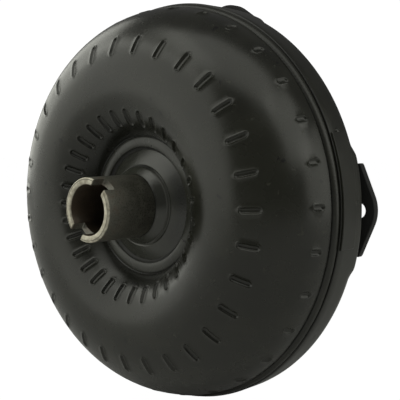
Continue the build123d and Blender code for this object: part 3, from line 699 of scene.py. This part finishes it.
pilot_outline = [
    (0.0, -5.0), (1.6, -3.6), (1.9, -4.6), (2.6, -5.0), (10.2, -5.0), (10.8, -5.3),
    (11.0, -6.0), (11.0, -11.2), (11.6, -11.9), (12.2, -12.0), (19.6, -12.0), (20.2, -11.8),
    (21.4, -10.6), (21.6, -10.2), (21.6, 3.2), (21.3, 3.5), (21.3, 3.9), (22.8, 3.9),
    (23.4, 4.5), (23.4, 11.3), (13.95, 11.3), (13.95, 15.1), (0.0, 15.1),
]
pilot_nose = turn("pilot_nose", pilot_outline)
lathe = Finish("turned_pilot_steel")
lathe_marks = lathe.rings(2600.0)
haze = lathe.noise(60.0, 5.0)
pilot_steel = lathe.mix(lathe.fade(haze, 0.35, 0.7), (0.30, 0.29, 0.27), (0.44, 0.43, 0.41))
stain = lathe.fade(lathe.noise(140.0, 6.0), 0.58, 0.70)
wear(pilot_nose, lathe.surface({
    "Base Color": lathe.mix(stain * 0.6, pilot_steel, (0.16, 0.10, 0.06)),
    "Metallic": 0.95 - stain * 0.5,
    "Roughness": 0.26 + lathe_marks * 0.14 + stain * 0.25,
    "Normal": lathe.bump(lathe_marks, 0.05),
}))
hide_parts("crank_pilot")

pilot_bead = ripple("pilot_bead", [
    (23.4, 8.1), (23.9, 8.5), (24.6, 9.3), (25.4, 10.2), (26.3, 10.9), (26.6, 11.35),
    (23.3, 11.35),
], 56, 0.14, 7.0, range(1, 5))
wear(pilot_bead, paint("olive_black_pilot_bead", olive_black, 0.46, 0.12))
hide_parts("pilot_weld")

# --- Balance weight -----------------------------------------------------------
# A strip of sheet steel, rolled to the drum and tacked on after the drum was
# balanced. Paint covers it and softens its edges.

weight_strip = turn("weight_strip", [
    (155.95, 25.6), (157.25, 25.6), (157.25, 42.1), (155.95, 42.1),
], 60, 30.0)
swing(weight_strip, radians(-9.0))
modify(weight_strip, "BEVEL", 34.0, width=0.4 * MM, segments=3, limit_method="ANGLE",
       angle_limit=radians(50.0))
weight_paint = paint("olive_black_weight", olive_black, 0.32)
wear(weight_strip, weight_paint)
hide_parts("balance_weight")

tacks = []
for depth, angle, size in ((25.4, 3.0, 2.3), (25.4, 15.0, 2.0), (33.0, 21.3, 2.4)):
    bpy.ops.object.select_all(action="DESELECT")
    bpy.ops.mesh.primitive_uv_sphere_add(segments=28, ring_count=16, radius=1.0,
                                         location=(0, 0, 0))
    tack = bpy.context.object
    for vertex in tack.data.vertices:
        lump = 1.0 + 0.16 * noise.noise(vertex.co * 1.7 + Vector((angle, 0, 0)))
        out, along, side = vertex.co * size * lump
        r = 156.05 + 0.45 * max(out, -0.6)
        vertex.co = Vector(around(r, depth + along, radians(angle) + side / r)) * MM
    tacks.append(tack)
wear(join(tacks, "weight_tacks", 60.0), weight_paint)

# --- Blades and core rings ----------------------------------------------------
# Thin sheet-steel blades, brazed in place. The braze leaves a coppery bloom on
# the grey steel.


def dress(material, *names):
    """Give CAD pieces their material."""
    for name in names:
        nodes[name].data.materials.clear()
        nodes[name].data.materials.append(material)


braze = Finish("brazed_sheet_steel")
bloom = braze.noise(38.0, 6.0)
scale_grain = braze.noise(700.0, 3.0)
sheet = braze.mix(braze.fade(scale_grain, 0.3, 0.7), (0.26, 0.25, 0.24), (0.36, 0.35, 0.33))
dress(braze.surface({
    "Base Color": braze.mix(braze.fade(bloom, 0.50, 0.68) * 0.7, sheet, (0.48, 0.24, 0.12)),
    "Metallic": 0.9,
    "Roughness": 0.36 + bloom * 0.2,
    "Normal": braze.bump(scale_grain, 0.03),
}), "impeller_blades", "impeller_core_ring", "turbine_shell", "turbine_blades",
    "turbine_core_ring")

# --- Turbine hub, clutch cam and cap ------------------------------------------
# Turned steel parts that are never painted, with oil-darkened tool marks.

oiled = Finish("oiled_turned_steel")
oil_marks = oiled.rings(2400.0)
film = oiled.noise(55.0, 4.0)
dress(oiled.surface({
    "Base Color": oiled.mix(oiled.fade(film, 0.35, 0.7), (0.33, 0.32, 0.30), (0.48, 0.47, 0.45)),
    "Metallic": 0.95,
    "Roughness": 0.24 + oil_marks * 0.12 + film * 0.08,
    "Normal": oiled.bump(oil_marks, 0.03),
}), "turbine_hub", "turbine_rivets", "stator_cap", "clutch_cam")

# --- Stator wheel -------------------------------------------------------------
# One aluminium casting: hub, blades and shroud. It keeps the grain of the mould.

cast = Finish("cast_aluminium")
mould = cast.noise(520.0, 5.0)
cast_cloud = cast.noise(30.0, 4.0)
dress(cast.surface({
    "Base Color": cast.mix(cast.fade(cast_cloud, 0.3, 0.7), (0.44, 0.44, 0.43), (0.60, 0.60, 0.59)),
    "Metallic": 0.85,
    "Roughness": 0.42 + mould * 0.18,
    "Normal": cast.bump(mould, 0.12),
}), "stator_wheel")

# --- Bearings, rollers and clutch race ----------------------------------------
# Hardened steel, ground and polished, with only hairline grinding marks.

ground = Finish("ground_bearing_steel")
hairline = ground.rings(5200.0)
sheen = ground.noise(80.0, 3.0)
dress(ground.surface({
    "Base Color": ground.mix(ground.fade(sheen, 0.3, 0.7), (0.52, 0.52, 0.53), (0.64, 0.64, 0.65)),
    "Metallic": 1.0,
    "Roughness": 0.12 + hairline * 0.10,
    "Normal": ground.bump(hairline, 0.01),
}), "front_bearing_race_front", "front_bearing_race_rear", "front_bearing_needles",
    "rear_bearing_race_front", "rear_bearing_race_rear", "rear_bearing_needles",
    "clutch_rollers", "clutch_race")

# --- Bearing cages, springs and snap ring -------------------------------------
# Blued spring steel, darker and duller than the bearings it sits between.

blued = Finish("blued_spring_steel")
temper = blued.noise(90.0, 5.0)
dress(blued.surface({
    "Base Color": blued.mix(blued.fade(temper, 0.35, 0.7), (0.13, 0.14, 0.17), (0.24, 0.24, 0.26)),
    "Metallic": 0.95,
    "Roughness": 0.30 + temper * 0.16,
    "Normal": blued.bump(blued.noise(900.0, 2.0), 0.015),
}), "front_bearing_cage", "rear_bearing_cage", "clutch_springs", "stator_snap_ring")

# --- Thrust washer ------------------------------------------------------------
# A plain bronze ring between the turbine hub and the clutch, polished by use.

bronze = Finish("plain_bronze")
rub = bronze.rings(2000.0)
tarnish = bronze.noise(120.0, 5.0)
brown = bronze.mix(bronze.fade(tarnish, 0.4, 0.7), (0.60, 0.40, 0.18), (0.38, 0.24, 0.11))
dress(bronze.surface({
    "Base Color": brown,
    "Metallic": 1.0,
    "Roughness": 0.22 + rub * 0.12 + tarnish * 0.12,
    "Normal": bronze.bump(rub, 0.02),
}), "thrust_washer")

# --- Floor, light and camera --------------------------------------------------
# A plain pale floor and six soft boxes: large ones to the left and overhead, and
# smaller ones at the upper left, behind the left limb and on the right.

bpy.ops.object.select_all(action="DESELECT")
bpy.ops.mesh.primitive_circle_add(vertices=96, radius=6.0, fill_type="NGON",
                                  location=(0, 0, 0))
studio_floor = bpy.context.object
studio_floor.name = "studio_floor"
for vertex in studio_floor.data.vertices:
    vertex.co.z = cad_box[0][2] - 0.0005
pale = Finish("pale_floor")
lit = pale.node("ShaderNodeBsdfPrincipled", sockets={
    "Base Color": pale.mix(pale.noise(3.0), (0.68, 0.68, 0.68), (0.71, 0.71, 0.71)),
    "Roughness": 0.9,
})
glow = pale.node("ShaderNodeEmission", sockets={"Color": (1.0, 1.0, 1.0, 1.0), "Strength": 1.06})
from_camera = pale.node("ShaderNodeLightPath", out="Is Camera Ray")
shown = pale.node("ShaderNodeMixShader", sockets={0: from_camera * 0.94, 1: lit, 2: glow})
studio_floor.data.materials.append(pale.finished(shown))

world = bpy.data.worlds.new("studio")
bpy.context.scene.world = world
world.use_nodes = True
background = world.node_tree.nodes["Background"]
background.inputs["Color"].default_value = (1.0, 1.0, 1.0, 1.0)
seen = world.node_tree.nodes.new("ShaderNodeLightPath")
strength = world.node_tree.nodes.new("ShaderNodeMapRange")
strength.inputs["To Min"].default_value = 0.11
strength.inputs["To Max"].default_value = 1.05
world.node_tree.links.new(seen.outputs["Is Camera Ray"], strength.inputs["Value"])
world.node_tree.links.new(strength.outputs[0], background.inputs["Strength"])

aim = Vector((0.0232, -0.0387, 0.0027))
eye = Vector((0.4577, -0.5201, 0.0577))
across = Vector((0.742, 0.670, 0.0))
toward = Vector((0.670, -0.742, 0.0))
up = Vector((0.0, 0.0, 1.0))


def soft_light(name, right, near, high, width, height, power):
    """A soft box placed from the camera's side of the drum, facing the drum."""
    bpy.ops.object.light_add(type="AREA")
    lamp = bpy.context.object
    lamp.name = name
    lamp.data.shape = "RECTANGLE"
    lamp.data.size = width
    lamp.data.size_y = height
    lamp.data.energy = power
    lamp.data.color = (0.99, 1.0, 0.91)
    lamp.location = aim + across * right + toward * near + up * high
    lamp.rotation_euler = (aim - lamp.location).to_track_quat("-Z", "Y").to_euler()


soft_light("left_box", -1.50, 0.15, 0.25, 2.2, 2.4, 18.0)
soft_light("rear_left_box", -1.20, -1.20, 0.60, 1.2, 1.4, 8.0)
soft_light("right_box", 1.10, 0.85, 1.05, 1.2, 1.1, 5.2)
soft_light("low_right_box", 1.45, 0.40, 0.30, 1.2, 1.0, 3.6)
soft_light("top_box", -0.15, 0.45, 1.50, 2.0, 1.1, 7.5)
soft_light("upper_left_box", -0.95, 0.15, 1.35, 1.2, 0.9, 2.0)

bpy.ops.object.camera_add(location=eye)
camera = bpy.context.object
camera.data.lens = 74.6
camera.data.sensor_width = 36.0
camera.data.clip_start = 0.01
camera.rotation_euler = (aim - eye).to_track_quat("-Z", "Y").to_euler()
bpy.context.scene.camera = camera
bpy.context.scene.view_settings.view_transform = "Standard"
